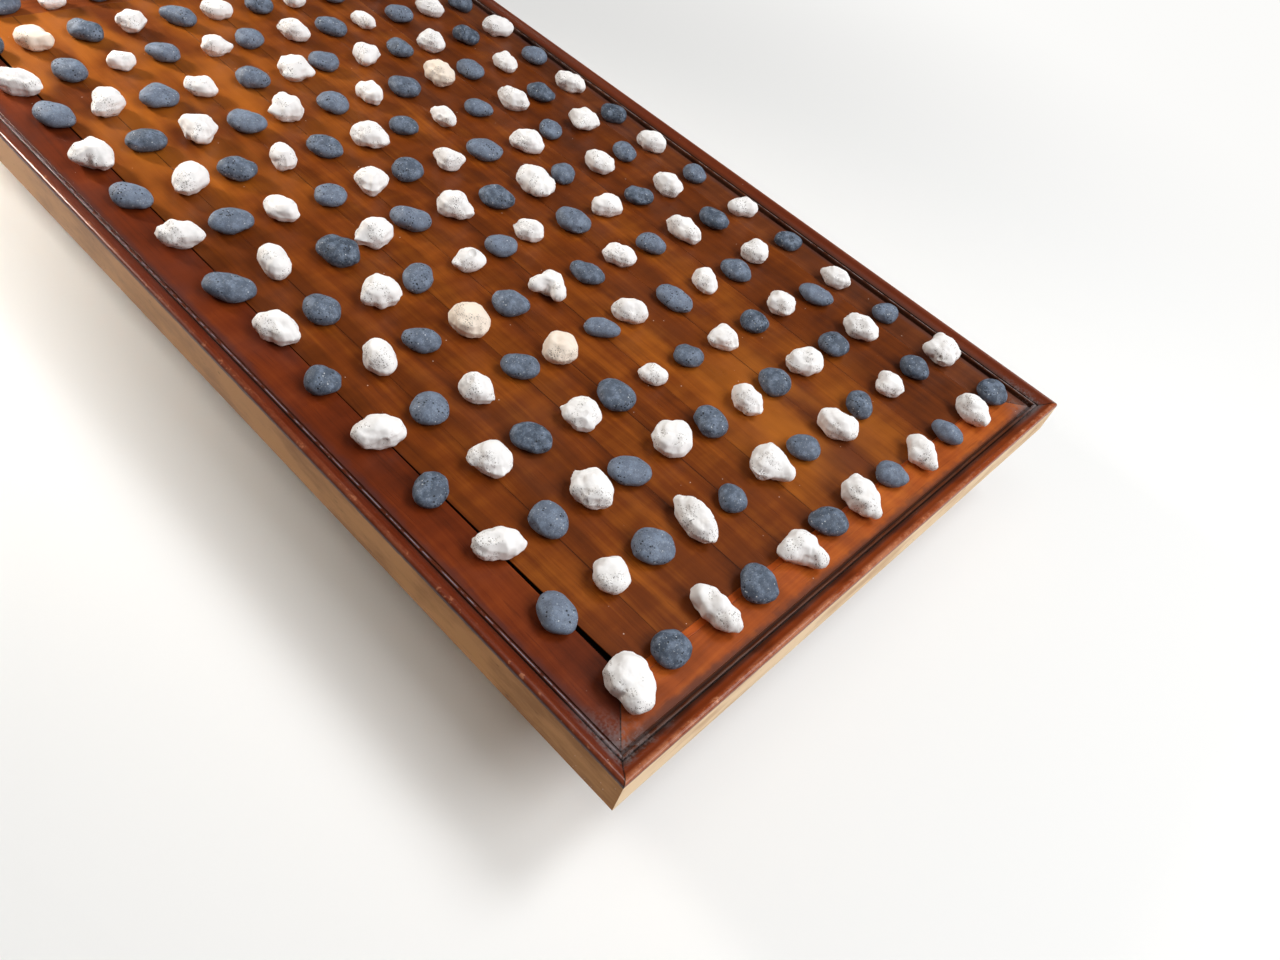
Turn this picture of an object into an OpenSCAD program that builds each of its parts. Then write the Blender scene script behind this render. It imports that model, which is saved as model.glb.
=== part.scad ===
/* [Panel] */
// Width of the panel between the side rails
panel_w = 340; // [334:1:370]
// Length of the panel between the end rails
panel_l = 622; // [590:1:680]
// Thickness of the panel planks
panel_t = 16; // [15:0.5:20]
// Widths of the planks from the left, the last plank takes what is left
plank_widths = [30.5, 63.5, 31.5, 34.5, 61, 54];
// Gap that shrinkage has opened beside the left plank at its near end
near_gap = 4; // [1:0.1:5]
// Gap that shrinkage has opened beside the left plank at its far end
far_gap = 3; // [1:0.1:5]
// Gap left where the bowed plank comes closest to its rail
least_gap = 0.3; // [0.2:0.1:0.8]
// Thickness of the tongues round the panel
tongue_t = 5; // [4:0.5:6]
// Length of the tongues round the panel
tongue_l = 6; // [4:0.5:8]
// Depth of the tongues below the playing surface
tongue_deep = 4; // [3:0.5:5]
// Room left beyond the tongues in their grooves
tongue_room = 1; // [0.5:0.1:1.5]
// Width of the filler slip at its wide left end
slip_wide = 5; // [3:0.1:6]
// Width of the filler slip at its narrow right end
slip_narrow = 0.8; // [0.6:0.1:2]

/* [Frame] */
// Width of the two side rails
side_rail_w = 40; // [34:0.5:46]
// Width of the two end rails
end_rail_w = 33.5; // [32:0.5:42]
// Thickness of the rails below the playing surface
rail_t = 18; // [18:0.5:22]
// Height of the rim above the playing surface
rim_h = 6.6; // [5.6:0.1:8]
// Radius of the rim's rounded crest
crest_r = 2; // [1.5:0.1:2.5]
// Turn of the crest from its top to where the hollow slope starts, in degrees
crest_turn = 50; // [40:1:60]
// Distance from the outer face to the foot of the slope
slope_w = 9; // [8:0.1:12]
// Height of the slope's foot above the playing surface
slope_foot_h = 2.2; // [1.6:0.1:2.6]
// Radius of the slope's hollow
cove_r = 14; // [10:0.5:25]
// Width of the quirk between the slope and the bead
quirk_w = 0.4; // [0.2:0.1:0.8]
// Radius of the bead beside the slope
bead_r = 1; // [0.8:0.1:1.3]
// Height of the bead above the slope's foot
bead_rise = 0.2; // [0:0.1:0.5]
// Width of the groove inside the bead
groove_w = 1.9; // [1.2:0.1:2.6]
// Depth of the groove below the playing surface
groove_deep = 0.8; // [0.4:0.1:1.5]
// Bevel on the lower outer edge of the rails
under_bevel = 1; // [0.5:0.1:2]

/* [Joinery] */
// Thickness of the hidden splines in the mitres
spline_t = 4; // [3:0.5:5]
// Width of the hidden splines along the mitre
spline_w = 20; // [14:1:22]
// Length of the hidden splines across the mitre
spline_l = 20; // [16:1:24]
// Wood left below the splines
spline_floor = 3; // [2.5:0.25:4]
// Diameter of the dowels between the planks
dowel_d = 6; // [5:0.5:7]
// Length of the dowels between the planks
dowel_l = 24; // [18:1:26]
// Number of dowels along each plank seam
dowel_count = 4; // [2:1:6]
// Distance from the panel's ends to the first dowels
dowel_inset = 60; // [40:5:90]
// Clearance round dowels, tenons and screws
fit_gap = 0.1; // [0.1:0.05:0.2]

/* [Underside] */
// Width of the battens under the panel
batten_w = 42; // [36:1:50]
// Thickness of the battens
batten_t = 18; // [16:0.5:24]
// Distance kept between the battens' ends and the side rails
batten_clear = 5; // [2:0.5:8]
// Bevel on the lower ends of the battens
batten_bevel = 8; // [4:1:10]
// Distance from the panel's ends to the middle of the outer battens
batten_inset = 86; // [70:1:120]
// Diameter of the batten screws' shanks
screw_d = 4; // [3.5:0.1:4.5]
// Length of the batten screws under their heads
screw_l = 24; // [22:0.5:26]
// Diameter of the batten screws' heads
screw_head_d = 8; // [7:0.1:9]
// Height of the batten screws' heads
screw_head_h = 3; // [2.5:0.1:3.5]
// Distance of the screws from the middle line of their batten, to one side and the other in turn
screw_side = 12; // [10:0.5:13]
// Length that the battens' slots give the planks to move
slot_play = 3; // [2:0.5:4]
// Room round a screw's head in its recess
head_room = 1; // [0.5:0.1:1.5]
// Distance from the battens' ends to the middle of the feet
foot_inset = 43; // [41:1:47]
// Height of the feet below the battens
foot_h = 40; // [35:1:50]
// Radius of the feet's round belly
belly_r = 22; // [20:0.5:24]
// Radius of the feet's neck
neck_r = 13; // [11:0.5:14]
// Radius of the flat pad on top of the feet
pad_r = 18; // [16:0.5:20]
// Thickness of the flat pad on top of the feet
pad_t = 5; // [4:0.5:7]
// Radius of the belly's round edge
belly_round = 11; // [10:0.25:12]
// Height of the belly's widest place
belly_z = 10; // [8:0.25:10]
// Diameter of the feet's tenons
tenon_d = 16; // [14:0.5:18]
// Length of the feet's tenons
tenon_l = 12; // [10:0.5:14]
// Room left beyond the tenons in their holes
tenon_room = 1; // [0.5:0.1:1.5]

/* [Stones] */
// Rows of stones, from the near end to the far end
rows = 15; // [11:1:15]
// Distance that the outer columns of stones stand past the panel's side seams
column_past = 6; // [0:0.5:7]
// Distance that the first row of stones stands past the panel's near seam
first_row_past = 0.5; // [0:0.5:6]
// Distance that the last row of stones stands past the panel's far seam
last_row_past = 8; // [0:0.5:8]
// Sideways shift of all the stones from the middle of the board
column_shift = 3; // [-3:0.5:4]
// Greatest drift of a stone from its place
drift = 1.6; // [0:0.1:2]
// Half length of a middling piece of coral
coral_half = 10; // [8:0.25:11]
// Height of a pebble's middle above the board, as a share of its half thickness
pebble_sit = 0.86; // [0.75:0.01:0.95]

/* [Hidden] */
// Stones stand in twelve columns, and each row's two colours alternate
columns = 12;
per_colour = columns / 2;
board_w = panel_w + 2 * side_rail_w;
board_l = panel_l + 2 * end_rail_w;
top_z = foot_h + batten_t + panel_t;
column_pitch = (panel_w + 2 * column_past) / (columns - 1);
row_pitch = (panel_l + first_row_past + last_row_past) / (rows - 1);
mitre = min(side_rail_w, end_rail_w);
plank_count = len(plank_widths) + 1;
tongue_z = top_z - tongue_deep - tongue_t;
batten_l = panel_w - 2 * batten_clear;
batten_out = panel_l / 2 - batten_inset;
batten_places = [-batten_out, 0, batten_out];
foot_out = batten_l / 2 - foot_inset;
screw_z = foot_h + screw_head_h + head_room;
screw_pull = 0.95;
bow_steps = 12;
arc_steps = 6;
over = 1;
$fn = 64;

row_names = [for (r = [1:rows]) str("row_", r < 10 ? "0" : "", r)];
white_names = [for (name = row_names) str("white_stones_", name)];
black_names = [for (name = row_names) str("black_stones_", name)];
plank_names = [for (i = [1:plank_count]) str("plank_", i)];

// Each white stone of a row, left to right: its form, its size and its turn in degrees
white_rows = [
    [["knob", 1.2, 240], ["bone", 1.1, 92], ["chevron", 1.1, 314],
     ["pear", 1.15, 258], ["tooth", 1.1, 50], ["knob", 1, 250]],
    [["round", 0.95, 30], ["stick", 1.26, 80], ["branch", 1.22, 35],
     ["oval", 1.15, 105], ["triangle", 0.92, 44], ["star", 1.2, 20]],
    [["peanut", 1.12, 330], ["pear", 1.12, 86], ["round", 1.17, 335],
     ["egg", 1.02, 262], ["pear", 1.1, 146], ["egg", 1.08, 105]],
    [["triangle", 1.14, 146], ["heart", 1.06, 78], ["slab", 0.82, 125],
     ["triangle", 0.97, 280], ["star", 1.06, 47], ["egg", 0.95, 100]],
    [["kidney", 1.16, 335], ["drop", 1, 283], ["round", 1.08, 200],
     ["egg", 1.02, 130], ["egg", 0.96, 245], ["triangle", 1, 15]],
    [["oval", 1.12, 68], ["round", 1.18, 60], ["chevron", 1, 290],
     ["slab", 0.98, 115], ["stick", 1.15, 95], ["slab", 0.98, 140]],
    [["slab", 1.15, 112], ["triangle", 1.16, 70], ["pear", 0.9, 160],
     ["pear", 0.88, 120], ["oval", 1.02, 150], ["egg", 1.04, 285]],
    [["oval", 1.12, 75], ["knob", 1.05, 180], ["drop", 1.12, 295],
     ["claw", 1.22, 262], ["kidney", 1.05, 105], ["oval", 1.02, 112]],
    [["peanut", 1.1, 330], ["slab", 1.02, 105], ["triangle", 1.04, 235],
     ["chevron", 0.92, 134], ["slab", 1.1, 125], ["star", 1.1, 10]],
    [["pear", 1.1, 212], ["knob", 0.88, 248], ["pear", 1.1, 300],
     ["bone", 0.92, 98], ["kidney", 1.1, 105], ["peanut", 1.05, 115]],
    [["chevron", 1.12, 314], ["branch", 1.08, 120], ["heart", 1.1, 130],
     ["peanut", 0.98, 95], ["egg", 1.18, 95], ["slab", 0.95, 95]],
    [["knob", 1, 205], ["egg", 0.9, 318], ["star", 1.2, 25],
     ["triangle", 0.98, 225], ["triangle", 1.06, 35], ["egg", 1.1, 326]],
    [["stick", 1.2, 130], ["oval", 0.8, 150], ["knob", 0.85, 340],
     ["peanut", 1.02, 115], ["bone", 0.85, 105], ["slab", 1.05, 120]],
    [["egg", 1.04, 310], ["star", 1, 60], ["oval", 0.95, 145],
     ["round", 0.9, 40], ["slab", 1, 120], ["pear", 1, 280]],
    [["round", 0.95, 70], ["oval", 0.95, 20], ["heart", 0.9, 120],
     ["knob", 0.85, 200], ["egg", 0.9, 340], ["round", 0.85, 90]],
];

// Each black stone of a row, left to right: its length, width and thickness and its turn in degrees
black_rows = [
    [[19.5, 18, 12, 30], [22, 20, 12.5, 80], [22.5, 17, 12, 140],
     [20.5, 16.5, 11.5, 120], [21.5, 14.5, 11, 95], [21, 19, 12, 60]],
    [[23, 18, 12, 75], [22.5, 21, 12, 140], [17, 16, 10.5, 70],
     [20, 18, 12, 130], [20, 16.5, 11.5, 50], [21.5, 17, 11.5, 85]],
    [[21, 19, 13, 60], [23, 19.5, 12.5, 130], [22.5, 18, 12, 60],
     [21.5, 19, 13, 60], [22, 19.5, 12.5, 30], [19.5, 15.5, 11, 155]],
    [[22, 17, 12, 35], [22.5, 19, 12, 125], [23, 20, 13, 80],
     [19.5, 16.5, 11, 130], [18.5, 17, 11.5, 130], [25, 15.5, 11, 112]],
    [[22, 20, 12, 170], [22.5, 17.5, 12, 135], [22.5, 14, 10, 130],
     [26, 16.5, 11, 95], [23, 16.5, 11, 105], [21, 14.5, 10.5, 135]],
    [[18.5, 18, 12.5, 150], [22, 15.5, 11, 135], [23.5, 17.5, 12, 130],
     [23.5, 15.5, 11, 110], [20.5, 17, 12, 130], [24, 17.5, 11.5, 90]],
    [[22, 20, 12.5, 110], [23.5, 16, 11.5, 45], [21.5, 17, 12, 150],
     [25.5, 20, 13, 95], [20, 16.5, 11, 135], [19.5, 17, 11.5, 80]],
    [[27.5, 19, 12, 135], [26, 22, 13, 100], [26, 18, 12, 130],
     [24, 18, 12, 125], [18.5, 16.5, 11, 100], [19, 15.5, 11, 90]],
    [[25, 18, 12, 170], [20, 17.5, 11.5, 140], [21.5, 19, 12.5, 160],
     [25, 18.5, 12.5, 145], [18, 16, 11, 80], [20.5, 18, 12, 120]],
    [[25, 17, 12, 125], [22.5, 18.5, 12, 150], [23.5, 16.5, 11, 125],
     [20.5, 16, 11, 120], [21, 14.5, 10.5, 135], [23, 16.5, 11.5, 115]],
    [[24, 18, 12, 160], [24.5, 17.5, 12, 130], [22, 18, 12, 130],
     [24, 17.5, 12, 120], [22.5, 16, 11.5, 105], [22, 18, 12, 90]],
    [[24, 18, 12, 120], [24, 20, 12, 175], [22.5, 17.5, 12, 130],
     [21.5, 16.5, 11.5, 125], [22, 17, 11.5, 100], [23.5, 17.5, 12, 110]],
    [[21.5, 17, 12, 125], [23, 16, 11.5, 130], [21, 17, 11.5, 160],
     [22.5, 16.5, 11.5, 125], [22.5, 17, 12, 115], [20, 17, 12, 110]],
    [[21, 17, 12, 125], [24.5, 16.5, 12, 120], [26, 15.5, 11.5, 120],
     [21, 17, 12, 130], [22, 17, 12, 120], [21, 16.5, 11.5, 110]],
    [[22, 17, 12, 10], [21, 17, 12, 170], [22, 16.5, 11.5, 0],
     [20, 17, 12, 20], [21, 16.5, 11, 165], [20, 16, 11.5, 5]],
];

// Stones that stand out of line: the row, the column and how far off they are, across and along the board
stragglers = [
    [1, 2, -4, -2], [1, 4, -2, -4], [1, 7, -3, 3],
    [2, 2, 3, 0], [2, 6, 4, 2], [2, 7, 2, -1], [2, 8, 2, -2],
    [3, 1, 3, 3], [3, 4, -3, -2], [3, 5, 2, 2],
    [4, 2, 5, 0], [4, 4, 5, -3], [4, 11, 2, -5], [4, 12, -3, -3],
    [5, 5, -4, 0], [5, 6, 3, -1], [5, 7, -2, 3], [5, 8, 1, -3], [5, 9, 3, -2], [5, 10, 0, -3], [5, 11, -4, 1],
    [6, 1, -3, -1], [6, 7, 2, -2],
    [7, 3, 3, -4], [7, 5, 5, -1], [7, 6, 3, 0], [7, 7, -5, 3],
    [8, 1, -2, -2], [8, 2, -2, 2], [8, 3, 3, -4], [8, 8, 3, -2], [8, 10, 3, -4],
    [9, 4, 2, -1], [9, 9, 4, -6],
    [10, 1, -4, 0], [10, 5, -2, 3],
    [11, 1, -2, -4], [11, 8, 2, -3],
    [12, 4, -2, 2], [12, 6, 2, -2], [12, 7, -3, 2], [12, 10, -4, -1],
    [13, 1, -4, -3], [13, 5, 3, -2], [13, 8, 2, -1],
    [14, 2, -4, -4], [14, 3, 0, -4],
];

// Forms of coral: name, half sizes as shares of a stone's half length,
// and lobes, each with its heading, its slope, how far it stands out and how narrow it is
coral_forms = [
    ["round", [1.02, 0.96, 0.68], [[70, 20, 0.08, 4], [200, 0, 0.07, 5], [310, 20, -0.09, 6]]],
    ["oval", [1.1, 0.75, 0.62], [[20, 10, 0.08, 4], [160, 20, -0.05, 5]]],
    ["egg", [1, 0.79, 0.62], [[0, 0, 0.24, 4], [180, 10, 0.08, 2]]],
    ["slab", [1.05, 0.77, 0.58], [[32, 0, 0.13, 6], [148, 0, 0.1, 6], [215, 0, 0.1, 6], [328, 0, 0.08, 6]]],
    ["stick", [1.2, 0.66, 0.56], [[15, 0, 0.1, 9], [170, 0, 0.12, 6], [270, 0, -0.1, 6], [60, 30, -0.05, 8]]],
    ["bone", [0.82, 0.68, 0.58], [[0, 0, 0.66, 5], [180, 8, 0.6, 5], [90, 0, -0.12, 5], [270, 0, -0.16, 5]]],
    ["peanut", [0.9, 0.76, 0.6], [[0, 0, 0.4, 4], [180, 0, 0.32, 4], [90, 0, -0.06, 6], [270, 0, -0.2, 6]]],
    ["pear", [0.88, 0.82, 0.64], [[0, 0, 0.5, 5], [180, 10, 0.14, 2]]],
    ["drop", [0.92, 0.84, 0.64], [[0, -10, 0.46, 11], [180, 10, 0.1, 2]]],
    ["knob", [0.98, 0.94, 0.7], [[0, -10, 0.42, 9], [315, 0, -0.2, 9], [60, 0, 0.06, 6], [190, 25, 0.12, 3]]],
    ["heart", [0.9, 0.94, 0.62], [[40, 0, 0.3, 7], [320, 5, 0.32, 7], [0, 0, -0.22, 12], [180, 0, 0.2, 5]]],
    ["triangle", [0.84, 0.84, 0.64], [[0, 0, 0.38, 7], [120, 0, 0.34, 7], [240, 0, 0.3, 7]]],
    ["chevron", [0.84, 0.76, 0.66],
     [[325, 0, 0.6, 7], [215, 0, 0.57, 7], [90, 0, 0.28, 3], [270, 0, -0.28, 5]]],
    ["tooth", [0.8, 0.78, 0.6],
     [[0, 0, 0.55, 9], [130, 0, 0.28, 8], [205, 0, 0.48, 9], [168, 0, -0.2, 12]]],
    ["star", [0.82, 0.8, 0.62],
     [[20, 0, 0.42, 11], [110, 10, 0.34, 11], [195, 0, 0.4, 11], [290, 0, 0.42, 11]]],
    ["branch", [0.84, 0.82, 0.72],
     [[0, 0, 0.42, 7], [150, 0, 0.36, 6], [245, 0, 0.44, 9], [195, 20, -0.2, 9]]],
    ["claw", [0.86, 0.82, 0.64],
     [[0, 0, 0.6, 11], [58, 0, 0.46, 11], [190, 0, 0.46, 4], [30, 10, -0.16, 12]]],
    ["kidney", [1.08, 0.8, 0.6], [[270, 0, -0.26, 6], [10, 0, 0.08, 6], [170, 0, 0.12, 6], [90, 0, 0.06, 4]]],
];
coral_rings = [-58, -28, 0, 28, 58];
coral_around = 16;
coral_sit = 0.84;
coral_rise = 0.05;

function sum(values, i = 0) = i < len(values) ? values[i] + sum(values, i + 1) : 0;

// Left seam of plank i, measured from the panel's left edge
function seam_x(i) =
    i < plank_count ? -panel_w / 2 + sum([for (k = [0:1:i - 1]) plank_widths[k]]) : panel_w / 2;

// Width of the slip at a place across the board
function slip_at(x) = slip_wide + (slip_narrow - slip_wide) * (x + panel_w / 2) / panel_w;

// Gap beside the bowed left plank at a place along the board
function bow_at(y) = least_gap + ((y < 0 ? near_gap : far_gap) - least_gap) * pow(abs(2 * y / panel_l), 3);

// How far a tongue's block starts outside the panel's near or far edge
function tongue_reach(y_side) = y_side < 0 ? tongue_l : slip_wide + over;

// Screws go through the planks a little nearer the middle of the board than the planks' own middles
function screw_x(i) = screw_pull * (seam_x(i) + seam_x(i + 1)) / 2;
function screw_y(i) = i % 2 == 0 ? screw_side : -screw_side;

// Points along an arc, from one angle to another
function arc(middle, r, from, to) =
    [for (k = [0:arc_steps])
        let (turn = from + (to - from) * k / arc_steps) middle + r * [cos(turn), sin(turn)]];

function angle_to(middle, point) = atan2(point[1] - middle[1], point[0] - middle[0]);

// Moulded section of a rail: x runs inward from the outer face, y is up from the playing surface.
// From the outer face come the rounded crest, the hollow slope, a quirk, the bead and the groove
function rail_section(width) =
    let (crest = [crest_r, rim_h - crest_r],
         slope_top = crest + crest_r * [sin(crest_turn), cos(crest_turn)],
         slope_foot = [slope_w, slope_foot_h],
         span = norm(slope_foot - slope_top),
         along = (slope_foot - slope_top) / span,
         hollow = (slope_top + slope_foot) / 2
             + sqrt(cove_r * cove_r - span * span / 4) * [-along[1], along[0]],
         bead = [slope_w + quirk_w + bead_r, slope_foot_h + bead_rise - bead_r],
         groove = bead[0] + bead_r)
    concat(
        [[under_bevel, -rail_t], [0, under_bevel - rail_t]],
        arc(crest, crest_r, 180, 90 - crest_turn),
        arc(hollow, cove_r, angle_to(hollow, slope_top), angle_to(hollow, slope_foot)),
        [[slope_w, bead[1]]],
        arc(bead, bead_r, 180, 0),
        [[groove, -groove_deep], [groove + groove_w, -groove_deep], [groove + groove_w, 0], [width, 0],
         [width, -rail_t]]);

// Rail along X with its outer face on the XZ plane, mitred at both ends;
// past the mitre, the wider of two rails ends square against the other
module mitred_bar(length, width) {
    difference() {
        translate([-length / 2, 0, top_z]) rotate([90, 0, 90]) linear_extrude(length)
            polygon(rail_section(width));
        for (end = [0, 1]) mirror([end, 0, 0])
            translate([-length / 2, 0, top_z - rail_t - over]) linear_extrude(rail_t + rim_h + 2 * over)
                polygon([[-over, -over], [mitre, mitre], [mitre, width + over], [-over, width + over]]);
    }
}

module spline(x_side, y_side) {
    translate([x_side * (board_w / 2 - mitre / 2), y_side * (board_l / 2 - mitre / 2),
               top_z - rail_t + spline_floor])
        rotate(x_side * y_side * 45)
            translate([-spline_w / 2, -spline_l / 2, 0]) cube([spline_w, spline_l, spline_t]);
}

module corner_splines() {
    color("peru") for (x_side = [-1, 1], y_side = [-1, 1]) spline(x_side, y_side);
}

// The near rail, grooved for the panel's tongues; the far rail is the same turned round
module end_rail() {
    difference() {
        translate([0, -board_l / 2, 0]) mitred_bar(board_w, end_rail_w);
        translate([-panel_w / 2, -panel_l / 2 - tongue_l - tongue_room, tongue_z])
            cube([panel_w, tongue_l + tongue_room + over, tongue_t]);
        for (x_side = [-1, 1]) spline(x_side, -1);
    }
}

// The left rail, grooved for the panel's tongue; the right rail is the same turned round
module side_rail() {
    difference() {
        translate([-board_w / 2, 0, 0]) rotate(-90) mitred_bar(board_l, side_rail_w);
        translate([-panel_w / 2 - tongue_l - tongue_room, -panel_l / 2, tongue_z])
            cube([tongue_l + tongue_room + over, panel_l, tongue_t]);
        for (y_side = [-1, 1]) spline(-1, y_side);
    }
}

module left_rail() { color("saddlebrown") side_rail(); }
module right_rail() { color("saddlebrown") rotate(180) side_rail(); }
module near_rail() { color("sienna") end_rail(); }
module far_rail() { color("sienna") rotate(180) end_rail(); }

// Outline of plank i: its near end follows the slip, and the first plank's left edge is bowed
module plank_outline(i) {
    left = seam_x(i);
    right = seam_x(i + 1);
    near_left = [left, slip_at(left) - panel_l / 2];
    left_edge = i > 0
        ? [[left, panel_l / 2], near_left]
        : [for (k = [0:bow_steps])
            let (y = panel_l / 2 + (near_left[1] - panel_l / 2) * k / bow_steps) [left + bow_at(y), y]];
    polygon(concat([[right, slip_at(right) - panel_l / 2], [right, panel_l / 2]], left_edge));
}

module dowel_row(seam, gap) {
    for (k = [0:dowel_count - 1])
        translate([seam, (panel_l / 2 - dowel_inset) * (2 * k / (dowel_count - 1) - 1), top_z - panel_t / 2])
            rotate([0, 90, 0]) cylinder(dowel_l, r = dowel_d / 2 + gap, center = true);
}

module plank_dowels() {
    color("burlywood") for (i = [1:plank_count - 1]) dowel_row(seam_x(i), 0);
}

// A plank with its tongues, and the holes for its dowels and for the screws from below
module plank(i) {
    left = seam_x(i);
    right = seam_x(i + 1);
    first = i == 0;
    last = i == plank_count - 1;
    color(i % 2 == 0 ? "chocolate" : "peru") difference() {
        union() {
            translate([0, 0, top_z - panel_t]) linear_extrude(panel_t) plank_outline(i);
            for (y_side = [-1, 1])
                translate([left, y_side * (panel_l / 2) - tongue_reach(y_side), tongue_z])
                    cube([right - left, tongue_l + slip_wide + over, tongue_t]);
            if (first) translate([left - tongue_l, -panel_l / 2, tongue_z])
                cube([tongue_l + near_gap + over, panel_l, tongue_t]);
            if (last) translate([right - over, -panel_l / 2, tongue_z])
                cube([tongue_l + over, panel_l, tongue_t]);
        }
        if (!first) dowel_row(left, fit_gap);
        if (!last) dowel_row(right, fit_gap);
        for (y = batten_places) translate([screw_x(i), y + screw_y(i), screw_z])
            cylinder(screw_l + over, r = screw_d / 2 + fit_gap);
    }
}

// Filler between the planks' out-of-square near ends and the near rail
module near_end_slip() {
    color("orange") translate([0, 0, top_z - tongue_deep]) linear_extrude(tongue_deep)
        polygon([[-panel_w / 2, -panel_l / 2], [panel_w / 2, -panel_l / 2],
                 [panel_w / 2, slip_narrow - panel_l / 2], [-panel_w / 2, slip_wide - panel_l / 2]]);
}

// Slot through a batten for one screw, with the recess for its head
module screw_slot() {
    for (recess = [false, true]) {
        r = recess ? screw_head_d / 2 + head_room / 2 : screw_d / 2 + fit_gap;
        bottom = recess ? foot_h - over : foot_h;
        height = recess ? screw_head_h + head_room + over : batten_t + over;
        for (x = [-slot_play / 2, slot_play / 2]) translate([x, 0, bottom]) cylinder(height, r = r);
        translate([-slot_play / 2, -r, bottom]) cube([slot_play, 2 * r, height]);
    }
}

// Batten across the underside of the planks, with holes for the tenons of any feet
module batten(y, feet) {
    color("tan") difference() {
        translate([0, y + batten_w / 2, foot_h]) rotate([90, 0, 0]) linear_extrude(batten_w)
            polygon([[batten_bevel - batten_l / 2, 0], [batten_l / 2 - batten_bevel, 0],
                     [batten_l / 2, batten_bevel], [batten_l / 2, batten_t],
                     [-batten_l / 2, batten_t], [-batten_l / 2, batten_bevel]]);
        for (i = [0:plank_count - 1]) translate([screw_x(i), y + screw_y(i), 0]) screw_slot();
        if (feet) for (x_side = [-1, 1])
            translate([x_side * foot_out, y, foot_h - over])
                cylinder(tenon_l + tenon_room + over, r = tenon_d / 2 + fit_gap);
    }
}

module near_batten() { batten(-batten_out, true); }
module middle_batten() { batten(0, false); }
module far_batten() { batten(batten_out, true); }

// Round-headed screw with its head's flat at z 0, pointing up
module screw() {
    translate([0, 0, -screw_head_h]) cylinder(screw_head_h / 2, r1 = screw_head_d / 3, r2 = screw_head_d / 2);
    translate([0, 0, -screw_head_h / 2]) cylinder(screw_head_h / 2, r = screw_head_d / 2);
    cylinder(screw_l - screw_d, r = screw_d / 2);
    translate([0, 0, screw_l - screw_d]) cylinder(screw_d, r1 = screw_d / 2, r2 = 0);
}

module batten_screws() {
    color("goldenrod") for (y = batten_places, i = [0:plank_count - 1])
        translate([screw_x(i), y + screw_y(i), screw_z]) screw();
}

// Turned foot with a round belly, a neck, a flat pad and a tenon
module foot(x_side, y_side) {
    color("sienna") translate([x_side * foot_out, y_side * batten_out, 0]) {
        rotate_extrude() intersection() {
            union() {
                translate([belly_r - belly_round, belly_z]) circle(belly_round);
                square([belly_r - belly_round, belly_z + belly_round]);
                square([neck_r, foot_h]);
                translate([0, foot_h - pad_t]) square([pad_r, pad_t]);
            }
            square([belly_r, foot_h]);
        }
        translate([0, 0, foot_h - over]) cylinder(tenon_l + over, r = tenon_d / 2);
    }
}

module near_left_foot() { foot(-1, -1); }
module near_right_foot() { foot(1, -1); }
module far_left_foot() { foot(-1, 1); }
module far_right_foot() { foot(1, 1); }

// How far a stone stands out of line, if it is one of the stragglers
function out_of_line(row, column) =
    let (found = [for (stone = stragglers) if (stone[0] == row + 1 && stone[1] == column + 1) stone])
    len(found) > 0 ? [found[0][2], found[0][3]] : [0, 0];

// Where the stone of a row and column rests; each also strays a little from its place on the grid
function stone_place(row, column) =
    let (stray = rands(-drift, drift, 2, row * columns + column) + out_of_line(row, column))
    [column_shift + (column - (columns - 1) / 2) * column_pitch + stray[0],
     row * row_pitch - panel_l / 2 - first_row_past + stray[1], top_z];

// Water-worn lava pebble, cut flat where it rests
module pebble(length, width, thick) {
    intersection() {
        translate([0, 0, pebble_sit * thick / 2])
            scale([length / 2, width / 2, thick / 2]) sphere(1, $fn = 48);
        translate([-length, -width, 0]) cube([2 * length, 2 * width, 2 * thick]);
    }
}

function heading(azimuth, slope) = [cos(azimuth) * cos(slope), sin(azimuth) * cos(slope), sin(slope)];

// Share by which a lobe swells the stone along a direction
function swell(direction, lobe) = lobe[2] * exp(lobe[3] * (direction * heading(lobe[0], lobe[1]) - 1));

// Surface point of a lobed stone in the direction of an azimuth and a slope
function coral_point(half, lobes, azimuth, slope) =
    let (direction = heading(azimuth, slope),
         reach = 1 + sum([for (lobe = lobes) swell(direction, lobe)]))
    [half[0] * reach * direction[0], half[1] * reach * direction[1],
     half[2] * max(coral_rise, coral_sit + reach * direction[2])];

// Lump of beach coral: rings of points round a lobed form, with a flat base
module coral(half, lobes) {
    last_ring = len(coral_rings) - 1;
    points = concat(
        [for (j = [0:last_ring], i = [0:coral_around - 1])
            let (spot = coral_point(half, lobes, i * 360 / coral_around, coral_rings[j]))
            j == 0 ? [spot[0], spot[1], 0] : spot],
        [coral_point(half, lobes, 0, 90)]);
    sides = [for (j = [0:last_ring - 1], i = [0:coral_around - 1])
        let (a = j * coral_around + i, b = j * coral_around + (i + 1) % coral_around)
        each [[a, a + coral_around, b + coral_around], [a, b + coral_around, b]]];
    cap = [for (i = [0:coral_around - 1])
        [last_ring * coral_around + i, (last_ring + 1) * coral_around,
         last_ring * coral_around + (i + 1) % coral_around]];
    polyhedron(points, concat([[for (i = [0:coral_around - 1]) i]], sides, cap));
}

module white_stones(row) {
    color("white") for (k = [0:per_colour - 1]) {
        stone = white_rows[row][k];
        form = [for (choice = coral_forms) if (choice[0] == stone[0]) choice][0];
        translate(stone_place(row, 2 * k + row % 2)) rotate(stone[2])
            coral(coral_half * stone[1] * form[1], form[2]);
    }
}

module black_stones(row) {
    color("slategray") for (k = [0:per_colour - 1]) {
        stone = black_rows[row][k];
        translate(stone_place(row, 2 * k + (row + 1) % 2)) rotate(stone[3])
            pebble(stone[0], stone[1], stone[2]);
    }
}

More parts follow.
